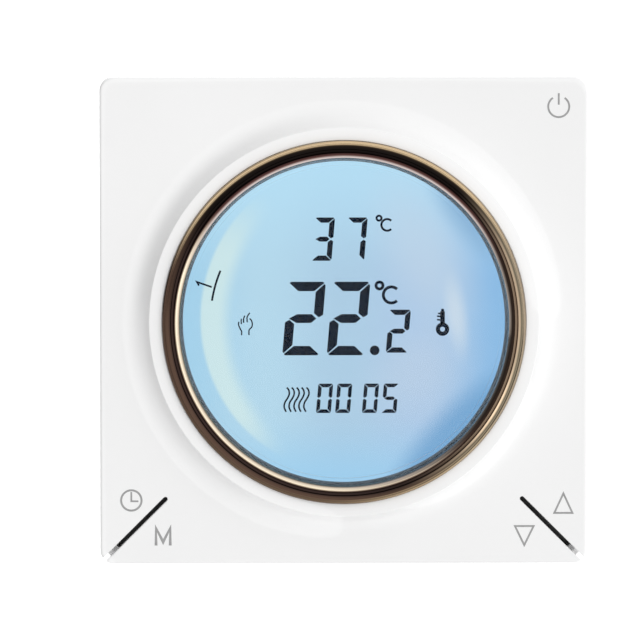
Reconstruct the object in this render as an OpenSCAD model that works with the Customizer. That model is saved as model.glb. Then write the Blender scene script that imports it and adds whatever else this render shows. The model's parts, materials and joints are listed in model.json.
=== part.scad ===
// Wall thermostat with a round display, five corner keys and a unit that fits a square wall box.
//
// The modules are drawn lying down: x to the right, y up the wall and z out of the wall, with z = 0
// on the wall. on_wall() stands them up, so the finished part faces -Y and +Z is up.
// The origin is the middle of the mounting plate's back face.

/* [Face] */
// Width and height of the square face plate
plate_w = 86; // [84:0.1:104]
// Radius of the face plate's corners
corner_r = 2.4; // [1.5:0.1:4]
// Distance from the wall to the flat of the face
face_z = 12; // [11.6:0.1:15]
// Thickness of the face plate
cover_t = 1.8; // [1.4:0.1:2.2]
// Depth of the cover's rim, from the flat of the face to its back edge
lip_depth = 3; // [2.8:0.1:3.4]
// Thickness of the cover's rim
lip_t = 1.6; // [1.3:0.1:2]
// Width of the bevel around the front edge
edge_bevel = 0.5; // [0.2:0.1:0.8]
// Open line between the cover and the frame behind it
shadow_gap = 1.1; // [0.9:0.1:1.5]

/* [Collar, ring and lens] */
// Radius where the raised collar starts to rise from the face
collar_foot_r = 38.6; // [36.5:0.1:40]
// Radius of the collar's crisp top edge
collar_top_r = 34.3; // [33.6:0.1:35.2]
// Height of the collar above the face
collar_h = 3; // [2.6:0.1:4]
// Outer radius of the trim ring
ring_r = 32; // [26:0.1:33]
// Width of the trim ring
ring_w = 3.2; // [2.6:0.1:4]
// How far the ring stands above the collar
ring_proud = 1.2; // [0.6:0.1:2]
// How deep the ring is let into the collar
ring_seat = 1.1; // [0.8:0.1:1.4]
// Thickness of the lens and of its flange
lens_t = 1; // [0.8:0.1:1.4]
// Rise of the lens from its edge to its crown
lens_rise = 2.3; // [0.5:0.1:4]

/* [Display] */
// Width and height of the display glass
glass_w = 60; // [48:0.5:70]
// Thickness of each sheet of display glass
glass_t = 0.7; // [0.5:0.05:1.1]
// Thickness of the light guide
guide_t = 2; // [1.5:0.1:2.4]

/* [Keys] */
// How far a key's slit runs in from each edge of the face
slit_run = 11.5; // [9:0.1:14]
// Width of a slit
slit_w = 0.8; // [0.5:0.1:1.2]
// Length of plate edge that each lower key takes up
key_span = 20; // [16:0.1:22]
// Length of each plate edge that the power key takes up
power_span = 19; // [15:0.1:21]
// Gap left at the line where a key bends
flex_gap = 0.1; // [0.05:0.01:0.2]
// Travel of a key at its switch
key_travel = 0.25; // [0.15:0.01:0.3]
// Height of a key switch's case
switch_h = 2; // [1.5:0.1:2.2]
// Width of a key switch's case
switch_w = 3.2; // [2.6:0.1:4]

/* [Boards] */
// Thickness of the display board
board_t = 1.2; // [0.8:0.1:1.6]
// Thickness of the power board
power_board_t = 1.6; // [1.2:0.1:2]
// Pitch of the plug pins between the two boards
pin_pitch = 2.54; // [2:0.01:3]
// Thickness of a plug pin
pin_w = 0.64; // [0.5:0.01:0.8]

/* [Wall unit] */
// Thickness of the steel mounting plate
mount_t = 1; // [0.8:0.1:1.5]
// Distance between the two wall screws
wall_pitch = 60; // [58:0.1:64]
// Width of the slots for the wall screws
slot_w = 4.2; // [3.6:0.1:5]
// Length of the slots for the wall screws
slot_len = 7; // [5:0.1:8]
// Width and height of the rear case
case_w = 49; // [46:0.1:50]
// Depth of the rear case behind the wall's surface
case_depth = 27; // [26:0.1:34]
// Wall thickness of the rear case
case_t = 1.8; // [1.4:0.1:2.2]
// Depth of the case behind the wall above the terminals
step_depth = 14; // [13:0.1:15.5]
// Height of the step that holds the terminals
step_h = 12; // [11.5:0.1:13]

/* [Terminals] */
// Distance between neighbouring terminals
term_pitch = 7.62; // [7.5:0.01:7.8]
// Width of a terminal's cell
cell_w = 6.2; // [5.9:0.1:6.5]
// Shank radius of a terminal screw
term_screw_r = 1.45; // [1.2:0.05:1.6]
// Head radius of a terminal screw
term_head_r = 2.5; // [2.2:0.1:2.8]
// How far a clamp plate opens
clamp_travel = 2; // [1:0.1:2.4]

/* [Hidden] */
$fn = 64;
fine = 0.01;            // thickness of a slice that only guides a hull
over = 1;               // how far a cut runs past the face it opens
bite = 0.3;             // how far a rib or post is let into the wall it grows from
corner_steps = 8;       // facets in each rounded corner
arc_steps = 10;         // facets in each arc of a turned outline
terminals = 6;
pins = 8;

fit_gap = 0.05;         // radial clearance of a seated or threaded piece
loose_gap = 0.2;        // clearance around a piece that drops in
free_gap = 0.4;         // clearance between pieces that pass each other

half_w = plate_w / 2;
cover_back_z = face_z - cover_t;
lip_z = face_z - lip_depth;
frame_top_z = lip_z - shadow_gap;
frame_inset = 0.8;
frame_w = plate_w - 2 * frame_inset;
frame_t = 1.6;
frame_back_z = 0.3;
frame_inner_w = frame_w - 2 * frame_t;
inner_r = 0.8;          // corner radius inside the frame and of the display board
board_w = frame_inner_w - 2 * free_gap;

collar_top_z = face_z + collar_h;
collar_sink = 0.2;      // how far the collar's foot starts below the face
collar_bow = 0.75;      // how far the collar's slope bows inwards
ring_seat_z = collar_top_z - ring_seat;
ring_top_z = collar_top_z + ring_proud;
ring_in_r = ring_r - ring_w;
lens_r = ring_in_r - loose_gap;
flange_r = ring_r - ring_w / 2 - loose_gap;
flange_z = ring_seat_z - lens_t;
gasket_t = 0.6;
gasket_z = flange_z - gasket_t;
gasket_r = ring_in_r + loose_gap;
lens_edge_z = ring_seat_z + ring_seat;
core_wall = 0.9;        // wall between the ring's seat and the groove that cores the collar
core_r = ring_r + core_wall;
core_w = 2.3;
core_top_z = face_z + 0.4;

polarizer_t = 0.1;
glass_top_z = cover_back_z - polarizer_t - fit_gap;
front_glass_z = glass_top_z - glass_t;
cell_gap = 0.05;        // spacer between the two sheets of glass
rear_glass_z = front_glass_z - cell_gap - glass_t;
ledge = 4;              // strip of front glass left bare for the contact strip
film_t = 0.25;
diffuser_z = rear_glass_z - film_t;
guide_z = diffuser_z - guide_t;
reflector_t = 0.15;
holder_t = 1.3;
holder_floor = 0.4;
board_top_z = guide_z - reflector_t - holder_floor;
board_z = board_top_z - board_t;
shelf_t = 1;            // thickness of the frame's shelf under the board

tact_edge = 5.2;        // from the near plate edge to the middle of a lower key's switch
tact_side = 9.4;        // from the other plate edge to the same point
power_tact = 5.6;       // from both plate edges to the middle of the power key's switch
plunger_r = 0.8;
plunger_up = 0.6;       // how far a plunger stands above its switch
post_gap = 0.08;        // rest gap between a key's post and its plunger
plunger_top_z = board_top_z + switch_h + plunger_up;
post_tip_z = plunger_top_z + post_gap;
flex_relief = 0.6;

mount_w = frame_inner_w - 4 * free_gap;
window_w = case_w + 2 * free_gap;
flange_t = 1.6;
flange_h = 60;
case_inner_w = case_w - 2 * case_t;
step_y = -case_w / 2 + step_h;
floor_z = -case_depth + case_t;
step_floor_z = -step_depth + case_t;
mouth_z = mount_t + flange_t;
lid_t = 1.2;
lid_z = mouth_z - lid_t;
socket_h = 8.2;
header_base = 2.5;
header_y = 17;
pin_reach = 5;          // length of the plug pins below their base
socket_top_z = board_z - header_base - loose_gap;
power_top_z = socket_top_z - socket_h;
power_z = power_top_z - power_board_t;
power_w = case_inner_w - 0.6;
post_w = 3.5;

// Sizes [width, height, depth] and places [x, y] of the parts on the boards
chip_size = [10, 10, 1.4];
chip_at = [10, -3];
crystal_r = 0.75;
crystal_len = 6;
crystal_at = [4, -14];
backup_r = 6.25;
backup_t = 1.6;
backup_at = [-12, -2];
bead_r = 1;
bead_t = 1.6;
lead_w = 0.4;
sensor_y = -board_w / 2 + 3.2;
relay_size = [19, 15.5, 15.4];
relay_at = [-11.5, -2.2];
core_size = [14, 6, 13];
coil_size = [14, 3.6, 9];
coil_up = 1.5;
transformer_at = [11.5, -3];
smoothing_r = 4;
smoothing_h = 13;
smoothing_at = [0, 12.5];
film_size = [13, 6, 11];
film_at = [-13, 12.5];
varistor_r = 4.4;
varistor_t = 3.6;
varistor_up = 6.4;
varistor_at = [10, 12.7];
fuse_r = 3.2;
fuse_h = 8;
fuse_at = [18, 15];
label_size = [30, 15, 0.15];
label_at = [0, 8];

block_wall = 0.8;
block_w = (terminals - 1) * term_pitch + cell_w + 2 * block_wall;
block_y0 = -case_w / 2 + 0.1;
block_y1 = step_y - loose_gap;
cell_z = -step_depth - 2.8;
contact_t = 1.2;
clamp_t = 1;
clamp_gap = 0.1;        // rest gap between a contact, its clamp plate and the screw's head
clamp_rest_z = cell_z - contact_t - clamp_gap - clamp_t;
head_t = 1.7;
head_z = clamp_rest_z - clamp_gap - head_t;
head_cover = 2.1;       // how far the block reaches past the heads of the open screws
block_z = head_z - clamp_travel - head_cover;
screw_y = step_y - 5.9;

// ---- shapes that repeat ----

// Outline of a rounded rectangle centred on the origin
function rounded_points(w, h, r) = [
    for (corner = [0:3], step = [0:corner_steps])
        let (a = 90 * (corner + step / corner_steps),
             sx = (corner == 0 || corner == 3) ? 1 : -1,
             sy = corner < 2 ? 1 : -1)
        [sx * (w / 2 - r) + r * cos(a), sy * (h / 2 - r) + r * sin(a)]];

// Points of an arc that bows away from the line between its ends by the rise
function bow(from, to, rise) = [
    for (step = [0:arc_steps])
        let (t = step / arc_steps,
             side = [from[1] - to[1], to[0] - from[0]] / norm(to - from))
        from + (to - from) * t + side * rise * 4 * t * (1 - t)];

module on_wall() rotate([90, 0, 0]) children();

module slab(w, h, r, z0, z1) translate([0, 0, z0])
    linear_extrude(z1 - z0) polygon(rounded_points(w, h, r));

// A block centred on x and y between two heights
module block(w, h, z0, z1, x = 0, y = 0) translate([x - w / 2, y - h / 2, z0]) cube([w, h, z1 - z0]);

module disc(r, z0, z1, x = 0, y = 0) translate([x, y, z0]) cylinder(r = r, h = z1 - z0);

module ring(r0, r1, z0, z1) translate([0, 0, z0])
    rotate_extrude() translate([r0, 0]) square([r1 - r0, z1 - z0]);

module at_four(x, y) for (sx = [-1, 1], sy = [-1, 1]) translate([sx * x, sy * y, 0]) children();

// ---- keys: where they are ----

slit_end = half_w - slit_run;
key_end = half_w - key_span;
power_end = half_w - power_span;

// Corners of the clock key's corner of the plate, run out past the plate's edges
lower_key = [[-slit_end, -slit_end],
    [-half_w - over, -key_end + over * (slit_end - key_end) / slit_run],
    [-half_w - over, -half_w - over]];
power_key = [[power_end - over, half_w + over], [half_w + over, half_w + over],
    [half_w + over, power_end - over]];

// Unit direction from a lower key's bending line towards its tip
lower_line = [-half_w + slit_end, -key_end + slit_end];
lower_tip = [-lower_line[1], lower_line[0]] / norm(lower_line);
power_tip = [1, 1] / sqrt(2);

module prism(points, z0, z1) translate([0, 0, z0]) linear_extrude(z1 - z0) polygon(points);

// Places a lower key, drawn at the clock key's place, at any of the four
module at_clock() children();
module at_menu() mirror([1, -1, 0]) children();
module at_down() mirror([1, 0, 0]) mirror([1, -1, 0]) children();
module at_up() mirror([1, 0, 0]) children();
module at_lower() {
    at_clock() children();
    at_menu() children();
    at_down() children();
    at_up() children();
}

// ---- front: cover ----

// The cover before its openings are cut: a plate with a bevelled front edge and a rim behind it
module cover_blank() difference() {
    hull() {
        slab(plate_w, plate_w, corner_r, lip_z, lip_z + fine);
        slab(plate_w, plate_w, corner_r, face_z - edge_bevel - fine, face_z - edge_bevel);
        slab(plate_w - 2 * edge_bevel, plate_w - 2 * edge_bevel, corner_r - edge_bevel / 2,
            face_z - fine, face_z);
    }
    slab(plate_w - 2 * lip_t, plate_w - 2 * lip_t, corner_r - lip_t / 2, lip_z - over, cover_back_z);
}

// The collar sweeps up from the face in a hollow curve and ends in a flat rim
module collar() rotate_extrude() polygon(concat(
    [[ring_in_r - over, cover_back_z + bite]],
    [[collar_foot_r, cover_back_z + bite]],
    bow([collar_foot_r, face_z - collar_sink], [collar_top_r, collar_top_z], collar_bow),
    [[ring_in_r - over, collar_top_z]]));

tab_x = 14;
tab_w = 10;
tab_t = 1;
tab_root = 0.5;         // how far a tab starts below the top of the frame
hook_z = lip_z + 0.35;  // underside of the hook on each tab
hook_h = 0.4;
hook_reach = 0.35;
hook_gap = 0.15;
leg_w = 8;
leg_t = 1.4;

// Pockets in the rim that the frame's snap tabs hook into
module snap_places() for (turn = [0, 90, 180, 270], side = [-1, 1])
    if (turn == 0 || side * (turn - 180) != 90) rotate(turn)
        translate([side * tab_x, half_w - lip_t, 0]) children();

module front_cover() on_wall() color("white") difference() {
    union() {
        cover_blank();
        collar();
        for (turn = [0, 90, 180, 270]) rotate(turn)
            block(leg_w, leg_t, board_top_z, cover_back_z + bite, 0, (board_w - leg_t) / 2 - bite);
    }
    ring(0, gasket_r, cover_back_z - over, collar_top_z + over);
    ring(0, flange_r + loose_gap, gasket_z, collar_top_z + over);
    ring(0, ring_r + fit_gap, ring_seat_z, collar_top_z + over);
    ring(core_r, core_r + core_w, cover_back_z - over, core_top_z);
    at_lower() {
        prism(lower_key, lip_z - over, face_z + over);
        translate(-flex_relief * lower_tip) prism(lower_key, lip_z - over, cover_back_z);
    }
    for (side = [-1, 1]) disc(slit_w / 2, lip_z - over, face_z + over, side * slit_end, -slit_end);
    prism(power_key, lip_z - over, face_z + over);
    translate(-flex_relief * power_tip) prism(power_key, lip_z - over, cover_back_z);
    snap_places() block(tab_w + 2 * free_gap, 2 * (hook_reach + loose_gap), hook_z - hook_gap,
        hook_z + hook_h + hook_gap);
}

// ---- front: frame, ring and lens ----

screw_x = board_w / 2 - 2.2;
screw_side_y = 12;
shelf_w = 1.8;
boss_z = 1.6;
boss_r = 2.3;
board_screw_r = 0.8;
board_head_t = 1;
board_slot_w = 0.5;
board_slot_depth = 0.4;
vent_w = 1.2;
vent_pitch = 3;
vent_z = 1.4;
vents = 6;              // vents on each side of the middle
solid_vents = 1;        // vents left out there
bump_t = 0.5;
bump_up = 1;
bump_h = 0.8;
boss_floor = 0.4;
upstand_w = plate_w - 2 * lip_t - 0.5;
upstand_inner_w = frame_inner_w - 0.6;
upstand_z = lip_z + 0.2;

module panel_frame() on_wall() color("whitesmoke") difference() {
    union() {
        difference() {
            slab(frame_w, frame_w, corner_r - frame_inset / 2, frame_back_z, frame_top_z);
            slab(frame_inner_w, frame_inner_w, inner_r, frame_back_z - over, frame_top_z + over);
        }
        difference() {
            slab(frame_inner_w + bite, frame_inner_w + bite, inner_r, board_z - shelf_t, board_z);
            slab(frame_inner_w - 2 * shelf_w, frame_inner_w - 2 * shelf_w, inner_r, 0, board_z + over);
        }
        for (sx = [-1, 1], sy = [-1, 1])
            disc(boss_r, boss_z, board_z, sx * screw_x, sy * screw_side_y);
        difference() {
            slab(upstand_w, upstand_w, 1, frame_top_z - tab_root, upstand_z);
            slab(upstand_inner_w, upstand_inner_w, inner_r, frame_top_z - over, lip_z + over);
        }
        snap_places() {
            block(tab_w, tab_t, frame_top_z - tab_root, cover_back_z - bite, 0, -tab_t / 2 - 0.25);
            block(tab_w, 2 * hook_reach, hook_z, hook_z + hook_h);
        }
        for (turn = [0, 180]) rotate(turn)
            block(tab_w, bump_t + bite, frame_back_z + bump_up, frame_back_z + bump_up + bump_h, 0,
                (frame_inner_w - bump_t + bite) / 2);
    }
    for (sx = [-1, 1], sy = [-1, 1])
        disc(board_screw_r + fit_gap, boss_z + boss_floor, board_z + over, sx * screw_x,
            sy * screw_side_y);
    for (i = [-vents:vents]) if (abs(i) > solid_vents) for (side = [-1, 1])
        block(vent_w, 3 * frame_t, vent_z, board_z - shelf_t - free_gap, vent_pitch * i,
            side * frame_w / 2);
}

// Section of the trim ring, as [in from its outside, down from its top]: outer lip, sloping band,
// groove and the top of the inner bevel
ring_section = [[0, 0.5], [0.15, 0.3], [0.4, 0.3], [0.55, 0.4], [1.4, 0.1], [1.5, 0.5], [2, 0.5],
    [2.1, 0], [2.4, 0]];

module bezel_ring() on_wall() color("rosybrown") rotate_extrude() polygon(concat(
    [[ring_in_r, ring_seat_z], [ring_r, ring_seat_z]],
    [for (point = ring_section) [ring_r - point[0], ring_top_z - point[1]]],
    [[ring_in_r, lens_edge_z]]));

// A clear dome with a flange that the ring holds down
module lens() on_wall() color("lightblue", 0.35) rotate_extrude() polygon(concat(
    [[0, lens_edge_z + lens_rise - lens_t], [0, lens_edge_z + lens_rise]],
    [for (step = [1:arc_steps]) let (t = step / arc_steps)
        [lens_r * t, lens_edge_z + lens_rise * (1 - t * t)]],
    [[lens_r, flange_z + lens_t], [flange_r, flange_z + lens_t], [flange_r, flange_z],
        [lens_r - lens_t, flange_z]],
    [for (step = [arc_steps:-1:1]) let (t = step / arc_steps)
        [(lens_r - lens_t) * t, lens_edge_z - lens_t + lens_rise * (1 - t * t)]]));

module lens_gasket() on_wall() color("dimgray")
    ring(gasket_r, flange_r, gasket_z, flange_z);

// ---- front: display ----

sheet_w = glass_w - 1;

module front_polarizer() on_wall() color("lightskyblue")
    block(sheet_w, sheet_w, glass_top_z, glass_top_z + polarizer_t);

module lcd_front_glass() on_wall() color("lightcyan")
    block(glass_w, glass_w, front_glass_z, glass_top_z);

module lcd_rear_glass() on_wall() color("powderblue")
    block(glass_w, glass_w - ledge, rear_glass_z, rear_glass_z + glass_t, 0, ledge / 2);

leds = 4;
led_w = 3;
led_d = 1.6;
led_rise = 0.8;         // share of the light guide's thickness that a light stands up beside
guide_y0 = -glass_w / 2 + ledge;
guide_h = glass_w - ledge - 2.8;
led_y = guide_y0 + guide_h + 1.1;
strip_w = 2;
strip_y = -glass_w / 2 + ledge / 2 - free_gap;
slot_gap = 0.3;         // clearance around the lights and the strip in the holder

// A sheet of the light unit, between two heights
module light_layer(z0, z1) block(sheet_w, guide_h, z0, z1, 0, guide_y0 + guide_h / 2);

module diffuser_sheet() on_wall() color("white") light_layer(diffuser_z, rear_glass_z);

module light_guide() on_wall() color("aliceblue") light_layer(guide_z, diffuser_z);

module reflector_sheet() on_wall() color("silver") light_layer(guide_z - reflector_t, guide_z);

module lcd_holder() on_wall() color("ghostwhite") difference() {
    slab(glass_w + 2 * holder_t, glass_w + 2 * holder_t, 1, board_top_z,
        glass_top_z - 2 * fit_gap);
    block(glass_w + 2 * loose_gap, glass_w + 2 * loose_gap, board_top_z + holder_floor,
        glass_top_z + over);
    block(glass_w - 3, strip_w + 2 * slot_gap, board_top_z - over, glass_top_z, 0, strip_y);
    block(glass_w - 3, led_d + 2 * slot_gap, board_top_z - over, glass_top_z, 0, led_y);
}

module backlight_leds() on_wall() color("lightyellow") for (i = [0:leds - 1])
    block(led_w, led_d, board_top_z, guide_z + led_rise * guide_t,
        (i - (leds - 1) / 2) * glass_w / (leds + 1), led_y);

module contact_strip() on_wall() color("hotpink")
    block(glass_w - 4, strip_w, board_top_z, front_glass_z, 0, strip_y);

module display_board() on_wall() color("seagreen") difference() {
    slab(board_w, board_w, inner_r, board_z, board_top_z);
    for (sx = [-1, 1], sy = [-1, 1])
        disc(board_screw_r + loose_gap, board_z - over, board_top_z + over, sx * screw_x,
            sy * screw_side_y);
}

// A box-shaped part hanging under a board whose underside is at the given height
module hang(size, at, z) block(size[0], size[1], z - size[2], z, at[0], at[1]);

module controller_chip() on_wall() color("darkslategray") hang(chip_size, chip_at, board_z);

module clock_crystal() on_wall() color("silver")
    translate([crystal_at[0], crystal_at[1], board_z - crystal_r]) rotate([0, 90, 0])
        cylinder(r = crystal_r, h = crystal_len);

module backup_cell() on_wall() color("lightgray")
    disc(backup_r, board_z - backup_t, board_z, backup_at[0], backup_at[1]);

module air_sensor() on_wall() color("black") {
    disc(bead_r, board_z - bead_t - lead_w, board_z - lead_w, 0, sensor_y);
    for (side = [-1, 1])
        block(lead_w, lead_w, board_z - 2 * lead_w, board_z, side * bead_r / 2, sensor_y);
}

well_z = board_top_z + 0.5;     // floor of a switch's well
plunger_gap = 0.15;     // left under a plunger that is pressed fully down

// Middle of each key's switch
module at_switches() {
    at_lower() translate([-half_w + tact_edge, -half_w + tact_side, 0]) children();
    translate([half_w - power_tact, half_w - power_tact, 0]) children();
}

module tact_switches() on_wall() color("gainsboro") at_switches() difference() {
    block(switch_w, switch_w, board_top_z, board_top_z + switch_h);
    disc(plunger_r + 2 * fit_gap, well_z, board_top_z + switch_h + over);
}

module plunger() color("black")
    disc(plunger_r, well_z + key_travel + plunger_gap, plunger_top_z);

module lower_plunger() translate([-half_w + tact_edge, -half_w + tact_side, 0]) plunger();

module plunger_clock() on_wall() at_clock() lower_plunger();
module plunger_menu() on_wall() at_menu() lower_plunger();
module plunger_down() on_wall() at_down() lower_plunger();
module plunger_up() on_wall() at_up() lower_plunger();
module plunger_power() on_wall()
    translate([half_w - power_tact, half_w - power_tact, 0]) plunger();

module header_pins() on_wall() {
    color("black") block(pins * pin_pitch, pin_pitch, board_z - header_base, board_z, 0, header_y);
    color("gold") for (i = [0:pins - 1])
        block(pin_w, pin_w, board_z - header_base - pin_reach, board_z - header_base + bite,
            (i - (pins - 1) / 2) * pin_pitch, header_y);
}

module board_screws() on_wall() color("silver") at_four(screw_x, screw_side_y) difference() {
    union() {
        disc(board_screw_r, boss_z + boss_floor + loose_gap, board_top_z + fine);
        disc(2 * board_screw_r, board_top_z, board_top_z + board_head_t);
    }
    block(board_slot_w, 5 * board_screw_r, board_top_z + board_head_t - board_slot_depth,
        board_top_z + board_head_t + over);
}

// ---- front: keys ----

key_post_r = 1.1;
post_tip_r = 0.5;
post_tip_h = 0.5;

// A stepped post under a key, over its switch
module key_post(x, y) {
    disc(key_post_r, post_tip_z + post_tip_h, cover_back_z + bite, x, y);
    disc(post_tip_r, post_tip_z, post_tip_z + 2 * post_tip_h, x, y);
}

module lower_key_shape() color("white") {
    difference() {
        intersection() {
            cover_blank();
            translate(flex_gap * lower_tip) prism(lower_key, lip_z - over, face_z + over);
        }
        translate([-half_w, -half_w, lip_z - 2 * over]) rotate(45)
            translate([-plate_w / 2, slit_w / 2 - plate_w, 0]) cube([plate_w, plate_w, 4 * lip_depth]);
        disc(slit_w / 2, lip_z - over, face_z + over, -slit_end, -slit_end);
    }
    key_post(-half_w + tact_edge, -half_w + tact_side);
}

module key_clock() on_wall() at_clock() lower_key_shape();
module key_menu() on_wall() at_menu() lower_key_shape();
module key_down() on_wall() at_down() lower_key_shape();
module key_up() on_wall() at_up() lower_key_shape();

module key_power() on_wall() color("white") {
    intersection() {
        cover_blank();
        translate(flex_gap * power_tip) prism(power_key, lip_z - over, face_z + over);
    }
    key_post(half_w - power_tact, half_w - power_tact);
}

// ---- wall unit ----

case_screw_x = 20;
case_screw_y = flange_h / 2 - 2.7;
case_screw_r = 1.1;
case_screw_z = 0.1;     // tip of a case screw, just in front of the wall
case_head_r = 2.4;
case_head_t = 1.3;
cross_w = 0.6;
cross_depth = 0.6;
lug_w = 10;
lug_h = board_z - shelf_t - free_gap;

module mounting_plate() on_wall() color("silver") difference() {
    union() {
        slab(mount_w, mount_w, 2, 0, mount_t);
        for (turn = [0, 180]) rotate(turn)
            block(lug_w, mount_t, 0, lug_h, 0, mount_w / 2 - mount_t / 2);
    }
    slab(window_w, window_w, 1, -over, mount_t + over);
    for (side = [-1, 1]) translate([side * wall_pitch / 2, 0, 0]) {
        block(slot_len - slot_w, slot_w, -over, mount_t + over);
        for (end = [-1, 1]) disc(slot_w / 2, -over, mount_t + over, end * (slot_len - slot_w) / 2, 0);
    }
    at_four(case_screw_x, case_screw_y) disc(case_screw_r + fit_gap, -over, mount_t + over);
}

module rear_case() on_wall() color("whitesmoke") difference() {
    union() {
        difference() {
            union() {
                translate([-case_w / 2, step_y, -case_depth])
                    cube([case_w, case_w / 2 - step_y, case_depth + mouth_z]);
                block(case_w, case_w, -step_depth, mouth_z);
                block(case_w, flange_h, mount_t, mouth_z);
            }
            block(case_inner_w, case_inner_w, step_floor_z, mouth_z + over);
            translate([-case_inner_w / 2, step_y + case_t, floor_z])
                cube([case_inner_w, case_inner_w / 2 - step_y - case_t, case_depth]);
        }
        for (side = [-1, 1]) {
            block(post_w + bite, post_w + bite, step_floor_z - bite, power_z,
                side * (case_inner_w - post_w + bite) / 2, -(case_inner_w - post_w + bite) / 2);
            block(post_w + bite, post_w + bite, floor_z - bite, power_z,
                side * (case_inner_w - post_w + bite) / 2, (case_inner_w - post_w + bite) / 2);
        }
    }
    at_four(case_screw_x, case_screw_y) disc(case_screw_r + fit_gap, 0, mouth_z + over);
    at_terminals() block(tail_w + 2 * free_gap, tail_t + 2 * free_gap, -step_depth - over,
        step_floor_z + over, 0, pin_y);
}

lid_vent = [1.5, 12];
lid_vent_pitch = 5;
lid_vent_y = -2;

module case_lid() on_wall() color("white") difference() {
    union() {
        block(case_inner_w - 2 * loose_gap, case_inner_w - 2 * loose_gap, lid_z, mouth_z);
        at_four((case_inner_w - post_w) / 2 - loose_gap, (case_inner_w - post_w) / 2 - loose_gap)
            block(post_w, post_w, power_top_z, lid_z + bite);
    }
    block(pins * pin_pitch + 2 * free_gap, pin_pitch + 2 * free_gap, lid_z - over, mouth_z + over,
        0, header_y);
    for (i = [-3:3]) block(lid_vent[0], lid_vent[1], lid_z - over, mouth_z + over,
        lid_vent_pitch * i, lid_vent_y);
}

module power_board() on_wall() color("darkgreen") difference() {
    block(power_w, power_w, power_z, power_top_z);
    at_terminals() block(tail_w + 2 * loose_gap, tail_t + 2 * loose_gap, power_z - over,
        power_top_z + over, 0, pin_y);
}

module relay() on_wall() color("royalblue") hang(relay_size, relay_at, power_z);

module transformer() on_wall() {
    color("gold") hang(core_size, transformer_at, power_z);
    color("darkslategray") for (side = [-1, 1])
        hang(coil_size, transformer_at + [0, side * (core_size[1] + coil_size[1]) / 2],
            power_z - coil_up);
}

module smoothing_capacitor() on_wall() color("navy")
    disc(smoothing_r, power_z - smoothing_h, power_z, smoothing_at[0], smoothing_at[1]);

module film_capacitor() on_wall() color("firebrick") hang(film_size, film_at, power_z);

module varistor() on_wall() color("steelblue") {
    translate([varistor_at[0], varistor_at[1] + varistor_t / 2, power_z - varistor_up])
        rotate([90, 0, 0]) cylinder(r = varistor_r, h = varistor_t);
    for (side = [-1, 1])
        hang([lead_w, lead_w, varistor_up - varistor_r / 2],
            varistor_at + [side * varistor_r / 2, 0], power_z);
}

module fuse() on_wall() color("saddlebrown")
    disc(fuse_r, power_z - fuse_h, power_z, fuse_at[0], fuse_at[1]);

module header_socket() on_wall() color("black") difference() {
    block(pins * pin_pitch, pin_pitch, power_top_z, socket_top_z, 0, header_y);
    for (i = [0:pins - 1])
        block(pin_w + 2 * loose_gap, pin_w + 2 * loose_gap, socket_top_z - pin_reach - 1,
            socket_top_z + over,
            (i - (pins - 1) / 2) * pin_pitch, header_y);
}

module case_screws() on_wall() color("silver") at_four(case_screw_x, case_screw_y) difference() {
    union() {
        disc(case_screw_r, case_screw_z, mouth_z + fine);
        disc(case_head_r, mouth_z, mouth_z + case_head_t);
    }
    for (turn = [0, 90]) rotate(turn)
        block(cross_w, 3 * case_head_r, mouth_z + case_head_t - cross_depth,
            mouth_z + case_head_t + over);
}

module label_plate() on_wall() color("white")
    hang(label_size, label_at, -case_depth);

// ---- terminals ----

pin_y = step_y - 1.8;
tail_w = 1;             // section of a contact's tail
tail_t = 0.8;
tail_slot = [1.3, 1];   // slot for a tail through the block
contact_w = cell_w - 2 * loose_gap;
contact_y0 = block_y0 + block_wall;
contact_y1 = screw_y + 2.9;

tail_end = 0.6;         // how far a tail stands past the power board
screw_end_z = -step_depth - 0.6;
free_bore = 0.25;       // clearance around a screw below its thread
clamp_inset = 0.1;      // how far a clamp plate is narrower than its contact on each side
clamp_back = 1.2;       // how far it stays clear of the wire's way in
drive_w = 0.7;
drive_depth = 0.8;

module at_terminal(n) translate([(n - (terminals + 1) / 2) * term_pitch, 0, 0]) children();

module at_terminals() for (n = [1:terminals]) at_terminal(n) children();

module terminal_block() on_wall() color("darkolivegreen") difference() {
    translate([-block_w / 2, block_y0, block_z])
        cube([block_w, block_y1 - block_y0, -step_depth - block_z]);
    at_terminals() {
        translate([-cell_w / 2, block_y0 - over, block_z - over])
            cube([cell_w, contact_y1 + loose_gap - block_y0 + over, cell_z - block_z + over]);
        disc(term_screw_r + free_bore, cell_z - over, screw_end_z + free_gap, 0, screw_y);
        block(tail_slot[0], tail_slot[1], cell_z - over, -step_depth + over, 0, pin_y);
        block(tail_slot[0], tail_slot[1] + loose_gap, cell_z - contact_t - loose_gap,
            cell_z + over, 0, pin_y);
        translate([-tail_slot[0] / 2, contact_y1 - over, cell_z - contact_t])
            cube([tail_slot[0], pin_y - contact_y1 + over + tail_slot[1] / 2, contact_t]);
    }
}

// A brass plate with a threaded hole and a tail that reaches the power board
module terminal_contacts() on_wall() color("goldenrod") at_terminals() {
    difference() {
        translate([-contact_w / 2, contact_y0, cell_z - contact_t])
            cube([contact_w, contact_y1 - contact_y0, contact_t]);
        disc(term_screw_r + fit_gap, cell_z - contact_t - over, cell_z + over, 0, screw_y);
    }
    translate([-tail_w / 2, contact_y1 - bite, cell_z - contact_t])
        cube([tail_w, pin_y - contact_y1 + bite + tail_t / 2, contact_t]);
    block(tail_w, tail_t, cell_z - contact_t, power_top_z + tail_end, 0, pin_y);
}

module clamp_plate(n) on_wall() color("lightgray") at_terminal(n) difference() {
    translate([-contact_w / 2 + clamp_inset, contact_y0 + clamp_back, clamp_rest_z])
        cube([contact_w - 2 * clamp_inset, contact_y1 - contact_y0 - clamp_back - loose_gap,
            clamp_t]);
    disc(term_screw_r + 3 * fit_gap, clamp_rest_z - over, clamp_rest_z + clamp_t + over, 0, screw_y);
}

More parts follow.
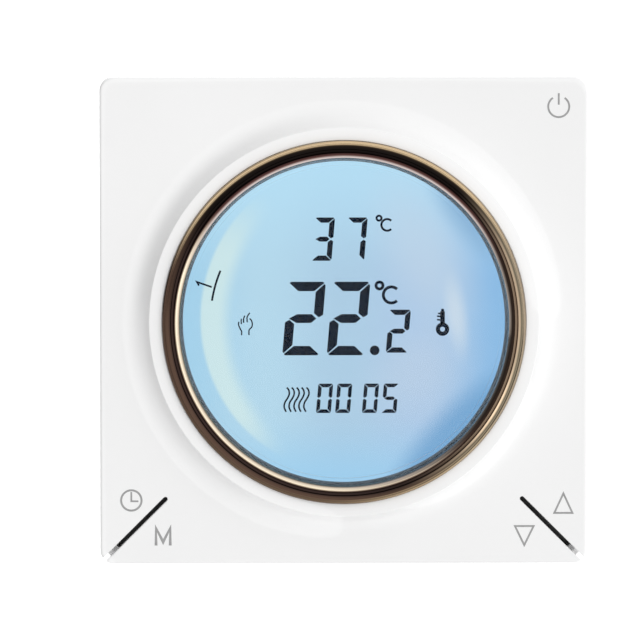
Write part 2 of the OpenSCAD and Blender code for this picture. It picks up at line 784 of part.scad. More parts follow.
module terminal_screw(n) on_wall() color("silver") at_terminal(n) difference() {
    union() {
        disc(term_head_r, head_z, head_z + head_t, 0, screw_y);
        disc(term_screw_r, head_z + head_t - fine, screw_end_z, 0, screw_y);
    }
    block(drive_w, 3 * term_head_r, head_z - over, head_z + drive_depth, 0, screw_y);
}

front_cover();
panel_frame();
bezel_ring();
lens();
lens_gasket();
front_polarizer();
lcd_front_glass();
lcd_rear_glass();
diffuser_sheet();
light_guide();
reflector_sheet();
lcd_holder();
backlight_leds();
contact_strip();
display_board();
controller_chip();
clock_crystal();
backup_cell();
air_sensor();
tact_switches();
header_pins();
board_screws();
key_power();
key_clock();
key_menu();
key_down();
key_up();
plunger_power();
plunger_clock();
plunger_menu();
plunger_down();
plunger_up();
mounting_plate();
rear_case();
case_lid();
power_board();
relay();
transformer();
smoothing_capacitor();
film_capacitor();
varistor();
fuse();
header_socket();
terminal_block();
terminal_contacts();
case_screws();
label_plate();
clamp_plate(1);  // clamp_plate_1
clamp_plate(2);  // clamp_plate_2
clamp_plate(3);  // clamp_plate_3
clamp_plate(4);  // clamp_plate_4
clamp_plate(5);  // clamp_plate_5
clamp_plate(6);  // clamp_plate_6
terminal_screw(1);  // terminal_screw_1
terminal_screw(2);  // terminal_screw_2
terminal_screw(3);  // terminal_screw_3
terminal_screw(4);  // terminal_screw_4
terminal_screw(5);  // terminal_screw_5
terminal_screw(6);  // terminal_screw_6
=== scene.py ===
"""Looks of a square wall thermostat with a round lit display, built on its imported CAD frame.

Flat shapes are drawn in the front view in millimetres: x to the right, y up the wall and z out of
the wall. place() turns such a point into the row frame, in metres.
"""

import json
from math import cos, hypot, pi, radians, sin, tan

import bmesh
import bpy
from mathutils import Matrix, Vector


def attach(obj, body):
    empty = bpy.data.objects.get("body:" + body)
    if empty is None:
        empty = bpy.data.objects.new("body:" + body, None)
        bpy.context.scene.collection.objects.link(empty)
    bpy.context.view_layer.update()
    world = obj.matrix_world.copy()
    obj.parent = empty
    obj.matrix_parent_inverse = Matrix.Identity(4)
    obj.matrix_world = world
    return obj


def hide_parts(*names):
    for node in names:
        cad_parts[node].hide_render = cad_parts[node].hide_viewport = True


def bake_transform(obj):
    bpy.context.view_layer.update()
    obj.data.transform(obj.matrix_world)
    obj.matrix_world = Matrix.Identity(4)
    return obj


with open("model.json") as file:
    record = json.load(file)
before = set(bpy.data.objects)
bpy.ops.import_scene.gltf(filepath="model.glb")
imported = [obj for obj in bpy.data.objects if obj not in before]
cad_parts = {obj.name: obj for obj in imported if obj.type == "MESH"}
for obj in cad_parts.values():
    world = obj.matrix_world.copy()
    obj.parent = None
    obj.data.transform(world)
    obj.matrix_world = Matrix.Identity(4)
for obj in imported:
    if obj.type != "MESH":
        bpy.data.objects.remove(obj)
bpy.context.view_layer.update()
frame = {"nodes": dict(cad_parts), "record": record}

MM = 0.001

# ---- sizes in millimetres ----

HALF = 43.0             # half the width of the square face
CORNER_R = 2.4          # its corners, seen from the front
EDGE_R = 0.5            # rounding along its edge
FACE_Z = 12.0           # the face out of the wall
BACK_Z = 10.2           # the back of the face
LIP_Z = 9.0             # the back of the lip round the face
LIP_T = 1.6             # and its thickness
RIM_Z = 15.0            # the top of the raised collar
RIM_R = 34.3            # the outside of its top
FOOT_R = 39.2           # where it runs out into the face
COLLAR_CURVE = 3.4      # power of the curve between them
BORE_R = 29.0           # the hole behind the lens
FLANGE_BORE_R = 30.4    # the wider hole that takes the flange of the lens
FLANGE_BORE_Z = 12.3    # and its floor
RING_R = 32.0           # the outside of the trim ring
RING_BORE_R = 28.8      # its inside
RING_GAP = 0.05         # between ring and collar
SEAT_Z = 13.9           # the step that the ring sits on
LENS_R = 28.6           # the clear dome
LENS_T = 1.0            # its wall
LENS_EDGE_Z = 15.0      # its edge
LENS_RISE = 2.3         # its middle above its edge
FLANGE_R = 30.2         # the flange of the lens
FLANGE_T = 1.0          # and its thickness
DISPLAY_Z = 10.15       # the front of the display
INK = (DISPLAY_Z + 0.005, DISPLAY_Z + 0.045)    # back and front of the marks on it
SLIT_END = 31.5         # inner end of a slit, along x and y
SLIT_W = 0.8            # its width
CORNER_CUT = 60.8       # x + y where the lower corners are parted from the cover
POWER_CUT = 64.4        # and where the upper one is
BEND = 1.5              # half the width of the strip that bends
POST_TIP_Z = 8.48       # where the post behind a key ends
TERMINAL_PITCH = 7.62
CASE_DEPTH = 27.0       # the back of the case behind the wall

GRAIN_DEPTH = 0.00002   # height of the fine grain of a surface, in metres


def place(x, y, z):
    """A point of the front view, in millimetres, as a point of the row frame, in metres."""
    return Vector((x, -z, y)) * MM


# ---- mesh building ----

def finish_mesh(name, bm, material, sharp=30):
    """Makes an object of a bmesh, with its normals outward and its sharp edges kept."""
    bmesh.ops.recalc_face_normals(bm, faces=bm.faces)
    mesh = bpy.data.meshes.new(name)
    bm.to_mesh(mesh)
    bm.free()
    mesh.materials.append(material)
    mesh.shade_smooth()
    mesh.set_sharp_from_angle(angle=radians(sharp))
    obj = bpy.data.objects.new(name, mesh)
    bpy.context.scene.collection.objects.link(obj)
    return obj


def join_loops(bm, loops, closed):
    """Quads between loops of equally many points. Closed joins the last loop to the first."""
    rows = [[bm.verts.new(place(*point)) for point in loop] for loop in loops]
    following = rows[1:] + rows[:1] if closed else rows[1:]
    for low, high in zip(rows, following):
        for i in range(len(low)):
            j = (i + 1) % len(low)
            bm.faces.new((low[i], low[j], high[j], high[i]))
    return rows


def add_solid(bm, loops):
    """A closed solid lofted through loops, with flat ends."""
    rows = join_loops(bm, loops, closed=False)
    bm.faces.new(rows[0])
    bm.faces.new(reversed(rows[-1]))


def add_prism(bm, points, z0, z1):
    add_solid(bm, [[(x, y, z) for x, y in points] for z in (z0, z1)])


def lathe(bm, profile, centre=(0, 0), steps=256):
    """A solid turned about the z axis. A closed profile goes round once, or starts and ends at r = 0."""
    turns = [2 * pi * i / steps for i in range(steps)]

    def circle(r, z):
        return [(centre[0] + r * cos(a), centre[1] + r * sin(a), z) for a in turns]

    if profile[0][0] > 0:
        join_loops(bm, [circle(r, z) for r, z in profile], closed=True)
        return
    rows = join_loops(bm, [circle(r, z) for r, z in profile[1:-1]], closed=False)
    for row, (r, z) in ((rows[0], profile[0]), (rows[-1], profile[-1])):
        pole = bm.verts.new(place(centre[0], centre[1], z))
        for i in range(steps):
            bm.faces.new((row[i], row[(i + 1) % steps], pole))


def soften(profile, size, steps=3):
    """Rounds each corner of a closed profile by up to the given size."""
    points = []
    for i, corner in enumerate(profile):
        ends = []
        for other in (profile[i - 1], profile[(i + 1) % len(profile)]):
            reach = hypot(other[0] - corner[0], other[1] - corner[1])
            share = min(size / reach, 0.4)
            ends.append([c + (o - c) * share for c, o in zip(corner, other)])
        for step in range(steps + 1):
            t = step / steps
            points.append([(1 - t) ** 2 * a + 2 * t * (1 - t) * c + t * t * b
                           for a, c, b in zip(ends[0], corner, ends[1])])
    return points


def add_ribbon(bm, points, width, z0, z1, closed=False):
    """A flat stroke of even width along a line, with mitred corners."""
    left, right = [], []
    count = len(points)
    for i, (x, y) in enumerate(points):
        before = points[i - 1] if closed or i > 0 else None
        after = points[(i + 1) % count] if closed or i < count - 1 else None
        sides = []
        for a, b in ((before, (x, y)), ((x, y), after)):
            if a and b:
                length = hypot(b[0] - a[0], b[1] - a[1])
                sides.append(((a[1] - b[1]) / length, (b[0] - a[0]) / length))
        nx = sum(side[0] for side in sides)
        ny = sum(side[1] for side in sides)
        reach = width / 2 / max(hypot(nx, ny) / len(sides), 0.35) / hypot(nx, ny)
        left.append((x + nx * reach, y + ny * reach))
        right.append((x - nx * reach, y - ny * reach))
    if not closed:
        add_prism(bm, left + right[::-1], z0, z1)
        return
    join_loops(bm, [[(x, y, z) for x, y in side]
                    for side, z in ((left, z0), (left, z1), (right, z1), (right, z0))], closed=True)


def arc(centre, r, start, end, steps=32):
    """Points of an arc between two angles in degrees, anticlockwise from the right."""
    turns = [radians(start + (end - start) * i / steps) for i in range(steps + 1)]
    return [(centre[0] + r * cos(a), centre[1] + r * sin(a)) for a in turns]


def curve_through(points, steps=6):
    """A smooth line through points."""
    ends = [points[0]] + list(points) + [points[-1]]
    line = []
    for a, b, c, d in zip(ends, ends[1:], ends[2:], ends[3:]):
        for i in range(steps):
            t = i / steps
            line.append(tuple(
                (2 * q + (r - p) * t + (2 * p - 5 * q + 4 * r - s) * t * t
                 + (3 * q - p - 3 * r + s) * t ** 3) / 2
                for p, q, r, s in zip(a, b, c, d)))
    return line + [points[-1]]


def apply_boolean(obj, cutter, operation):
    """Cuts or keeps what the cutter covers, and removes the cutter."""
    modifier = obj.modifiers.new("cut", "BOOLEAN")
    modifier.operation = operation
    modifier.solver = "EXACT"
    modifier.object = cutter
    shown = obj.evaluated_get(bpy.context.evaluated_depsgraph_get())
    mesh = bpy.data.meshes.new_from_object(shown)
    obj.modifiers.clear()
    obj.data = mesh
    bpy.data.objects.remove(cutter)


# ---- materials ----

def new_material(name):
    material = bpy.data.materials.new(name)
    material.use_nodes = True
    tree = material.node_tree
    return material, tree, tree.nodes["Principled BSDF"]


def add_node(tree, kind, inputs=(), **settings):
    """A node with its settings, and its inputs linked or set by name or number."""
    node = tree.nodes.new(kind)
    for key, value in settings.items():
        setattr(node, key, value)
    for key, value in dict(inputs).items():
        if isinstance(value, bpy.types.NodeSocket):
            tree.links.new(value, node.inputs[key])
        else:
            node.inputs[key].default_value = value
    return node


def add_ramp(tree, factor, stops, interpolation="LINEAR"):
    """A colour ramp through (position, colour) stops, in order."""
    node = add_node(tree, "ShaderNodeValToRGB", {"Fac": factor})
    ramp = node.color_ramp
    ramp.interpolation = interpolation
    ramp.elements[0].position, ramp.elements[1].position = stops[0][0], stops[-1][0]
    for position, _ in stops[1:-1]:
        ramp.elements.new(position)
    for element, (_, colour) in zip(ramp.elements, stops):
        element.color = (*colour, 1)
    return node.outputs["Color"]


def grey(value):
    return (value, value, value)


def add_levels(tree, factor, levels):
    """A smooth curve through (position, value) pairs."""
    return add_ramp(tree, factor, [(position, grey(value)) for position, value in levels], "EASE")


def srgb(red, green, blue):
    """A colour given as 0 to 255 on screen, as linear light."""
    return tuple(((c / 255 + 0.055) / 1.055) ** 2.4 if c > 10 else c / 255 / 12.92
                 for c in (red, green, blue))


def shade(colour, factor):
    return tuple(min(1, c * factor) for c in colour)


def add_grain(tree, scale, detail=3, stretch=(1, 1, 1)):
    """Noise over the object, with the scale in bumps per metre."""
    coords = add_node(tree, "ShaderNodeTexCoord").outputs["Object"]
    mapping = add_node(tree, "ShaderNodeMapping", {"Vector": coords, "Scale": stretch})
    noise = add_node(tree, "ShaderNodeTexNoise",
                     {"Vector": mapping.outputs["Vector"], "Scale": scale, "Detail": detail})
    return noise.outputs["Fac"]


def add_bump(tree, shader, height, strength, distance):
    bump = add_node(tree, "ShaderNodeBump",
                    {"Height": height, "Strength": strength, "Distance": distance})
    tree.links.new(bump.outputs["Normal"], shader.inputs["Normal"])


def surface(name, colour, rough, metallic=0.0, vary=0.05, patch=60, grain=2500, bump=0.15,
            stretch=(1, 1, 1), coat=0.0, specular=0.5):
    """A moulded, cast, brushed or printed surface: patchy colour, patchy gloss and a fine grain."""
    material, tree, shader = new_material(name)
    patches = add_grain(tree, patch, stretch=stretch)
    tint = add_ramp(tree, patches, [(0.3, shade(colour, 1 - vary)), (0.7, shade(colour, 1 + vary))])
    tree.links.new(tint, shader.inputs["Base Color"])
    gloss = add_node(tree, "ShaderNodeMapRange",
                     {"Value": patches, "To Min": rough * 0.85, "To Max": rough * 1.2})
    tree.links.new(gloss.outputs["Result"], shader.inputs["Roughness"])
    shader.inputs["Metallic"].default_value = metallic
    shader.inputs["Coat Weight"].default_value = coat
    shader.inputs["Specular IOR Level"].default_value = specular
    if bump:
        add_bump(tree, shader, add_grain(tree, grain, stretch=stretch), bump, GRAIN_DEPTH)
    return material


def front_coords(tree):
    """Distances to the right and up from the middle of the dial, in millimetres."""
    coords = add_node(tree, "ShaderNodeTexCoord").outputs["Object"]
    split = add_node(tree, "ShaderNodeSeparateXYZ", {"Vector": coords})
    return [add_node(tree, "ShaderNodeMath", {0: split.outputs[axis], 1: 1000.0},
                     operation="MULTIPLY").outputs["Value"] for axis in "XZ"]


def blob(tree, centre, radii, turn=0.0, soft=()):
    """A soft ellipse in the front view. Soft levels run from its edge, 0, to its middle, 1."""
    x, y = front_coords(tree)
    point = add_node(tree, "ShaderNodeCombineXYZ", {"X": x, "Y": y, "Z": 0.0}).outputs["Vector"]
    mapping = add_node(tree, "ShaderNodeMapping", {
        "Vector": point, "Location": (centre[0], centre[1], 0), "Rotation": (0, 0, radians(turn)),
        "Scale": (radii[0], radii[1], 1)}, vector_type="TEXTURE")
    gradient = add_node(tree, "ShaderNodeTexGradient", {"Vector": mapping.outputs["Vector"]},
                        gradient_type="SPHERICAL")
    return add_levels(tree, gradient.outputs["Fac"], soft)


def mix(tree, factor, first, second):
    """A colour from the first at factor 0 to the second at 1. Each may be linked or fixed."""
    node = add_node(tree, "ShaderNodeMix", data_type="RGBA")
    for socket, value in zip((node.inputs[0], node.inputs[6], node.inputs[7]),
                             (factor, first, second)):
        if isinstance(value, bpy.types.NodeSocket):
            tree.links.new(value, socket)
        elif isinstance(value, tuple):
            socket.default_value = (*value, 1)
        else:
            socket.default_value = value
    return node.outputs[2]


def times(tree, first, second):
    return add_node(tree, "ShaderNodeMath", {0: first, 1: second},
                    operation="MULTIPLY").outputs["Value"]


# Painted reflections on the display, pale sheens and darker blue patches: middle and half sizes of an
# ellipse in millimetres, its turn in degrees, how strong it grows towards its middle, and its colour
PAINTED_SHEENS = [
    ((14.0, 12.0), (9.5, 20.0), 28, ((0.0, 0.0), (0.9, 0.5)), srgb(198, 218, 234)),
    ((13.0, -9.0), (14.0, 10.0), 30, ((0.0, 0.0), (0.9, 0.45)), srgb(194, 212, 231)),
    ((23.0, -23.0), (11.5, 26.0), -45, ((0.05, 0.0), (0.5, 0.85)), srgb(110, 164, 210)),
    ((25.0, 20.5), (9.0, 17.0), 40, ((0.0, 0.0), (0.6, 0.85)), srgb(132, 176, 214)),
    ((19.8, 1.0), (2.8, 10.0), 8, ((0.0, 0.0), (0.9, 0.8)), srgb(208, 224, 237)),
]


def display_material():
    """The lit display: blue, with a painted reflection as a pale crescent on the left, pale ends and
    soft painted sheens.
    """
    material, tree, shader = new_material("display_light")
    across, up = [add_node(tree, "ShaderNodeMapRange",
                           {"Value": value, "From Min": -LENS_R, "From Max": LENS_R}).outputs["Result"]
                  for value in front_coords(tree)]
    colour = add_ramp(tree, across, [
        (0.0, srgb(165, 212, 238)), (0.25, srgb(182, 219, 238)), (0.5, srgb(174, 207, 230)),
        (0.75, srgb(176, 204, 233)), (1.0, srgb(140, 190, 232))], "EASE")
    for levels, tint in ((((0.0, 0.75), (0.22, 0.0), (1.0, 0.0)), srgb(156, 210, 244)),
                         (((0.0, 0.0), (0.6, 0.0), (1.0, 0.85)), srgb(184, 228, 250))):
        colour = mix(tree, add_levels(tree, up, levels), colour, tint)
    # Painted reflection: a pale crescent inside the left edge of the dome.
    inside = blob(tree, (0.3, 0.3), (25.9, 27.5), soft=((0.0, 0.0), (0.03, 1.0)))
    hollow = blob(tree, (3.2, 0), (25.6, 28.8), soft=((0.0, 1.0), (0.13, 0.0)))
    left = blob(tree, (-24.0, -3.0), (22.0, 32.0), soft=((0.05, 0.0), (0.55, 1.0)))
    painted_crescent = times(tree, times(tree, inside, hollow), times(tree, left, 0.8))
    colour = mix(tree, painted_crescent, colour, srgb(214, 238, 236))
    # Painted reflections, pale and dark, laid over the display's colour.
    for centre, radii, turn, soft, tint in PAINTED_SHEENS:
        colour = mix(tree, blob(tree, centre, radii, turn, soft), colour, tint)
    tree.links.new(colour, shader.inputs["Emission Color"])
    shader.inputs["Emission Strength"].default_value = 0.93
    shader.inputs["Base Color"].default_value = (*srgb(30, 40, 50), 1)
    shader.inputs["Roughness"].default_value = 0.3
    shader.inputs["Specular IOR Level"].default_value = 0.0
    return material


def ring_material():
    """Dark bronze trim, banded by radius in painted reflections: inner bevel, groove, sloping band and
    pale lip.

    Its light and dark arcs are painted reflections: dark at the top, warm on the right, and bright
    inside on the left and below, with a painted highlight on the band to the lower right.
    """
    inner, outer = 28.6, 32.2
    material, tree, shader = new_material("ring_metal")
    x, y = front_coords(tree)
    point = add_node(tree, "ShaderNodeCombineXYZ", {"X": x, "Y": y, "Z": 0.0}).outputs["Vector"]
    radius = add_node(tree, "ShaderNodeVectorMath", {0: point}, operation="LENGTH").outputs["Value"]
    zone = add_node(tree, "ShaderNodeMapRange",
                    {"Value": radius, "From Min": inner, "From Max": outer}).outputs["Result"]
    # Painted reflections by radius, one ramp for each side: dark at the top, warm on the right, bright
    # below and left.
    painted_dark_reflection = add_ramp(tree, zone, [
        (0.00, srgb(80, 84, 92)), (0.09, srgb(86, 84, 88)), (0.16, srgb(190, 178, 174)),
        (0.20, srgb(150, 136, 132)), (0.26, srgb(80, 54, 50)), (0.36, srgb(52, 34, 32)),
        (0.42, srgb(18, 14, 13)), (0.66, srgb(26, 22, 20)), (0.73, srgb(44, 34, 26)),
        (0.79, srgb(176, 154, 122)), (0.94, srgb(190, 168, 136)), (1.0, srgb(130, 112, 88))])
    painted_warm_reflection = add_ramp(tree, zone, [
        (0.00, srgb(150, 146, 142)), (0.09, srgb(160, 152, 144)), (0.18, srgb(104, 94, 86)),
        (0.26, srgb(34, 27, 22)), (0.36, srgb(40, 30, 26)), (0.42, srgb(120, 104, 88)),
        (0.52, srgb(96, 78, 62)), (0.62, srgb(176, 156, 132)), (0.72, srgb(92, 86, 72)),
        (0.84, srgb(150, 136, 116)), (1.0, srgb(130, 116, 100))])
    low = add_ramp(tree, zone, [
        (0.00, srgb(110, 98, 84)), (0.12, srgb(116, 102, 86)), (0.19, srgb(206, 192, 172)),
        (0.27, srgb(238, 224, 198)), (0.33, srgb(84, 67, 54)), (0.40, srgb(44, 34, 32)),
        (0.56, srgb(52, 40, 36)), (0.66, srgb(80, 62, 52)), (0.90, srgb(66, 51, 43)),
        (1.0, srgb(110, 100, 94))])
    angle = add_node(tree, "ShaderNodeMath", {0: y, 1: x}, operation="ARCTAN2").outputs["Value"]
    turn = add_node(tree, "ShaderNodeMapRange",
                    {"Value": angle, "From Min": -pi, "From Max": pi}).outputs["Result"]
    right = add_levels(tree, turn, [(0.0, 0.0), (0.30, 0.0), (0.42, 1.0), (0.54, 1.0), (0.64, 0.0),
                                    (1.0, 0.0)])
    left = add_levels(tree, turn, [(0.0, 1.0), (0.22, 0.9), (0.32, 0.5), (0.40, 0.0), (0.88, 0.0),
                                   (0.96, 1.0), (1.0, 1.0)])
    colour = mix(tree, right, mix(tree, left, painted_dark_reflection, low), painted_warm_reflection)
    # Painted highlight: a pale streak on the sloping band to the lower right.
    highlight_turn = add_levels(tree, turn, [(0.0, 0.0), (0.36, 0.0), (0.42, 1.0), (0.47, 0.0), (1.0, 0.0)])
    highlight_zone = add_levels(tree, zone, [(0.0, 0.0), (0.5, 0.0), (0.6, 1.0), (0.7, 0.0), (1.0, 0.0)])
    colour = mix(tree, times(tree, highlight_turn, highlight_zone), colour, srgb(226, 200, 168))
    tree.links.new(colour, shader.inputs["Base Color"])
    shader.inputs["Metallic"].default_value = 1.0
    gloss = add_node(tree, "ShaderNodeMapRange",
                     {"Value": add_grain(tree, 300), "To Min": 0.10, "To Max": 0.22})
    tree.links.new(gloss.outputs["Result"], shader.inputs["Roughness"])
    add_bump(tree, shader, add_grain(tree, 1500), 0.06, GRAIN_DEPTH)
    return material


def lens_material():
    """Clear plastic with a low index, so that the display is hardly bent behind the dome."""
    material, tree, shader = new_material("lens_clear")
    shader.inputs["Base Color"].default_value = (1, 1, 1, 1)
    shader.inputs["Transmission Weight"].default_value = 1.0
    shader.inputs["IOR"].default_value = 1.18
    gloss = add_node(tree, "ShaderNodeMapRange",
                     {"Value": add_grain(tree, 500), "To Min": 0.0, "To Max": 0.02})
    tree.links.new(gloss.outputs["Result"], shader.inputs["Roughness"])
    return material


def board_material(name, colour):
    """Circuit board: solder mask over a faint grid of tracks."""
    material, tree, shader = new_material(name)
    coords = add_node(tree, "ShaderNodeTexCoord").outputs["Object"]
    turned = add_node(tree, "ShaderNodeMapping", {"Vector": coords, "Rotation": (pi / 2, 0, 0)})
    tracks = add_node(tree, "ShaderNodeTexBrick", {
        "Vector": turned.outputs["Vector"], "Scale": 90.0, "Mortar Size": 0.03,
        "Mortar Smooth": 0.2, "Brick Width": 0.7, "Row Height": 0.22,
        "Color1": (*colour, 1), "Color2": (*shade(colour, 1.2), 1),
        "Mortar": (*shade(colour, 2.2), 1)})
    tree.links.new(tracks.outputs["Color"], shader.inputs["Base Color"])
    gloss = add_node(tree, "ShaderNodeMapRange",
                     {"Value": add_grain(tree, 200), "To Min": 0.25, "To Max": 0.4})
    tree.links.new(gloss.outputs["Result"], shader.inputs["Roughness"])
    add_bump(tree, shader, tracks.outputs["Fac"], 0.2, 0.00003)
    return material


def label_material():
    """A blank paper label with thin printed rules, and no writing."""
    spacing, line, reach = 3.0, 0.1, 13.0
    material, tree, shader = new_material("label_paper")
    x, y = front_coords(tree)
    rows = add_node(tree, "ShaderNodeMath", {0: y, 1: spacing},
                    operation="PINGPONG").outputs["Value"]
    rule = add_node(tree, "ShaderNodeMath", {0: rows, 1: line},
                    operation="LESS_THAN").outputs["Value"]
    side = add_node(tree, "ShaderNodeMath", {0: x}, operation="ABSOLUTE").outputs["Value"]
    within = add_node(tree, "ShaderNodeMath", {0: side, 1: reach},
                      operation="LESS_THAN").outputs["Value"]
    colour = mix(tree, times(tree, rule, within), srgb(236, 234, 226), srgb(140, 140, 140))
    tree.links.new(colour, shader.inputs["Base Color"])
    shader.inputs["Roughness"].default_value = 0.6
    add_bump(tree, shader, add_grain(tree, 3000), 0.1, GRAIN_DEPTH)
    return material


def winding_material():
    """Copper wire wound in close turns under clear varnish."""
    material, tree, shader = new_material("winding")
    coords = add_node(tree, "ShaderNodeTexCoord").outputs["Object"]
    wave = add_node(tree, "ShaderNodeTexWave", {"Vector": coords, "Scale": 1200.0,
                                                "Distortion": 0.4}, bands_direction="Y")
    colour = add_ramp(tree, wave.outputs["Fac"],
                      [(0.0, srgb(70, 38, 20)), (1.0, srgb(190, 118, 60))])
    tree.links.new(colour, shader.inputs["Base Color"])
    shader.inputs["Metallic"].default_value = 0.6
    shader.inputs["Roughness"].default_value = 0.35
    add_bump(tree, shader, wave.outputs["Fac"], 0.4, 0.0001)
    return material


def make_materials():
    """A finish for each material slot of the record, and for the pieces made here."""
    return {
        "gloss_white": surface("gloss_white", grey(0.9), 0.24, vary=0.012, patch=35, grain=1400,
                               bump=0.03, coat=0.15),
        "frame_white": surface("frame_white", grey(0.8), 0.5, vary=0.03, grain=2600),
        "ring_metal": ring_material(),
        "lens_clear": lens_material(),
        "dark_rubber": surface("dark_rubber", grey(0.05), 0.75, grain=1800, bump=0.3),
        "display_glass": surface("display_glass", srgb(150, 175, 185), 0.12, vary=0.04, bump=0),
        "polarizer": display_material(),
        "light_sheet": surface("light_sheet", grey(0.82), 0.7, vary=0.03),
        "guide_acrylic": surface("guide_acrylic", srgb(205, 225, 235), 0.15, vary=0.04, bump=0.05),
        "reflector_foil": surface("reflector_foil", grey(0.75), 0.3, metallic=0.8),
        "led_white": surface("led_white", srgb(250, 240, 190), 0.35, vary=0.08, patch=900),
        "strip_rubber": surface("strip_rubber", srgb(200, 96, 120), 0.6, vary=0.15, patch=2600),
        "board_green": board_material("board_green", srgb(22, 92, 50)),
        "board_black": board_material("board_black", grey(0.012)),
        "chip_black": surface("chip_black", grey(0.025), 0.45, vary=0.15, bump=0.3),
        "can_metal": surface("can_metal", grey(0.6), 0.25, metallic=1.0, bump=0.1),
        "switch_grey": surface("switch_grey", grey(0.35), 0.45),
        "pin_plastic": surface("pin_plastic", grey(0.03), 0.5, vary=0.1),
        "steel_screw": surface("steel_screw", srgb(205, 205, 208), 0.28, metallic=1.0, vary=0.08,
                               patch=400, grain=4000),
        "plate_steel": surface("plate_steel", srgb(196, 199, 203), 0.32, metallic=1.0, vary=0.1,
                               patch=180, stretch=(0.12, 1, 1), grain=3500, bump=0.2),
        "case_white": surface("case_white", srgb(232, 231, 226), 0.5, vary=0.03, grain=2200,
                              bump=0.25),
        "relay_blue": surface("relay_blue", srgb(40, 78, 150), 0.35),
        "winding": winding_material(),
        "can_navy": surface("can_navy", srgb(32, 40, 72), 0.3, vary=0.1),
        "cap_red": surface("cap_red", srgb(150, 44, 36), 0.4, vary=0.1),
        "disc_blue": surface("disc_blue", srgb(50, 88, 128), 0.45, vary=0.1),
        "fuse_brown": surface("fuse_brown", srgb(96, 58, 38), 0.4, vary=0.1),
        "block_green": surface("block_green", srgb(62, 120, 74), 0.45, vary=0.06, grain=2000),
        "brass": surface("brass", srgb(214, 176, 98), 0.25, metallic=1.0, vary=0.08, patch=300),
        "label_paper": label_material(),
        "ink_navy": surface("ink_navy", srgb(12, 24, 40), 0.6, vary=0.12, patch=500, bump=0,
                            specular=0.0),
        # Painted shade: a grey band for the shaded wall of the recess round the display.
        "rim_shade_grey": surface("rim_shade_grey", srgb(112, 128, 142), 0.5, vary=0.15, patch=400),
        "number_grey": surface("number_grey", grey(0.2), 0.5, vary=0.1, patch=900, bump=0.1),
        "print_grey": surface("print_grey", grey(0.33), 0.6, vary=0.1, patch=900, bump=0.1),
        "floor": floor_material(),
    }


def floor_material():
    """White backdrop, lit a little by itself."""
    material, tree, shader = new_material("floor")
    tint = add_ramp(tree, add_grain(tree, 3), [(0.3, grey(0.93)), (0.7, grey(0.95))])
    tree.links.new(tint, shader.inputs["Base Color"])
    shader.inputs["Roughness"].default_value = 0.9
    shader.inputs["Emission Color"].default_value = (1, 1, 1, 1)
    shader.inputs["Emission Strength"].default_value = 0.5
    return material


# ---- cover and keys ----

def plate_angles():
    """Directions round the face: even ones, and closer ones at the four rounded corners."""
    steps, extra = 256, 10
    reach, shift = 1.75, 0.013
    middle = (extra - 1) / 2
    turns = [2 * pi * i / steps for i in range(steps)]
    for corner in range(4):
        turns += [radians(90 * corner + 45 + reach * (i - middle) / middle + shift)
                  for i in range(extra)]
    return sorted(turns)


def outline_reach(angle, inset):
    """How far the rounded square, drawn in by the inset, reaches in a direction."""
    half = HALF - inset
    radius = max(CORNER_R - inset, 0.3)
    x, y = abs(cos(angle)), abs(sin(angle))
    flat = half / max(x, y)
    if min(x, y) * flat <= half - radius:
        return flat
    along = (half - radius) * (x + y)
    return along + (along * along - 2 * (half - radius) ** 2 + radius * radius) ** 0.5


def cover_loops():
    """Loops of the cover from its opening over the collar, face, rim and back to the opening."""
    turns = plate_angles()

    def circle(r, z):
        return [(r * cos(a), r * sin(a), z) for a in turns]

    def outline(inset, z):
        return [(outline_reach(a, inset) * cos(a), outline_reach(a, inset) * sin(a), z)
                for a in turns]

    def between(first, second, t):
        return [tuple(p + (q - p) * t for p, q in zip(a, b)) for a, b in zip(first, second)]

    wall_r = RING_R + RING_GAP
    lead, rounding, collar_steps, edge_steps = 0.08, 0.12, 24, 5
    loops = [circle(wall_r, SEAT_Z), circle(wall_r, RIM_Z - lead), circle(wall_r + lead, RIM_Z),
             circle(RIM_R - rounding, RIM_Z), circle(RIM_R - rounding / 4, RIM_Z - rounding / 6),
             circle(RIM_R + 0.05, RIM_Z - rounding)]
    for step in range(1, collar_steps + 1):
        t = step / collar_steps
        rise = (RIM_Z - FACE_Z) * (1 - t) ** COLLAR_CURVE
        loops.append(circle(RIM_R + (FOOT_R - RIM_R) * t, FACE_Z + rise))
    foot, edge = loops[-1], outline(EDGE_R, FACE_Z)
    loops += [between(foot, edge, t) for t in (0.02, 0.3, 0.7, 0.97)] + [edge]
    for step in range(1, edge_steps + 1):
        turn = pi / 2 * step / edge_steps
        loops.append(outline(EDGE_R * (1 - sin(turn)), FACE_Z - EDGE_R * (1 - cos(turn))))
    outside, inside, middle_r = 0.15, 0.1, 38
    loops += [outline(0, LIP_Z + outside), outline(outside, LIP_Z), outline(LIP_T - inside, LIP_Z),
              outline(LIP_T, LIP_Z + inside), outline(LIP_T, BACK_Z), circle(middle_r, BACK_Z),
              circle(BORE_R, BACK_Z), circle(BORE_R, FLANGE_BORE_Z),
              circle(FLANGE_BORE_R, FLANGE_BORE_Z), circle(FLANGE_BORE_R, SEAT_Z)]
    return loops


def slit_loops(side, half_width, flare):
    """Loops of the cut along a corner's diagonal: round at its inner end, wider at the face."""
    far = HALF + 4
    deep, top = FACE_Z - 0.12, FACE_Z + 0.02

    def outline(w):
        reach = w / 2 ** 0.5
        points = arc((SLIT_END, SLIT_END), w, 135, 315, 16)
        points += [(far + reach, far - reach), (far - reach, far + reach)]
        return [(side * x, -y) for x, y in points]

    return [[(x, y, z) for x, y in outline(w)]
            for w, z in ((half_width, LIP_Z - 1), (half_width, deep),
                         (half_width + flare, top), (half_width + flare, FACE_Z + 1))]


def cutter(loops):
    """A solid for one cut. apply_boolean() removes it again."""
    bm = bmesh.new()
    add_solid(bm, loops)
    return finish_mesh("cutter", bm, MATERIALS["gloss_white"])


def prism_cutter(points):
    return cutter([[(x, y, z) for x, y in points] for z in (LIP_Z - 2, RIM_Z + 2)])


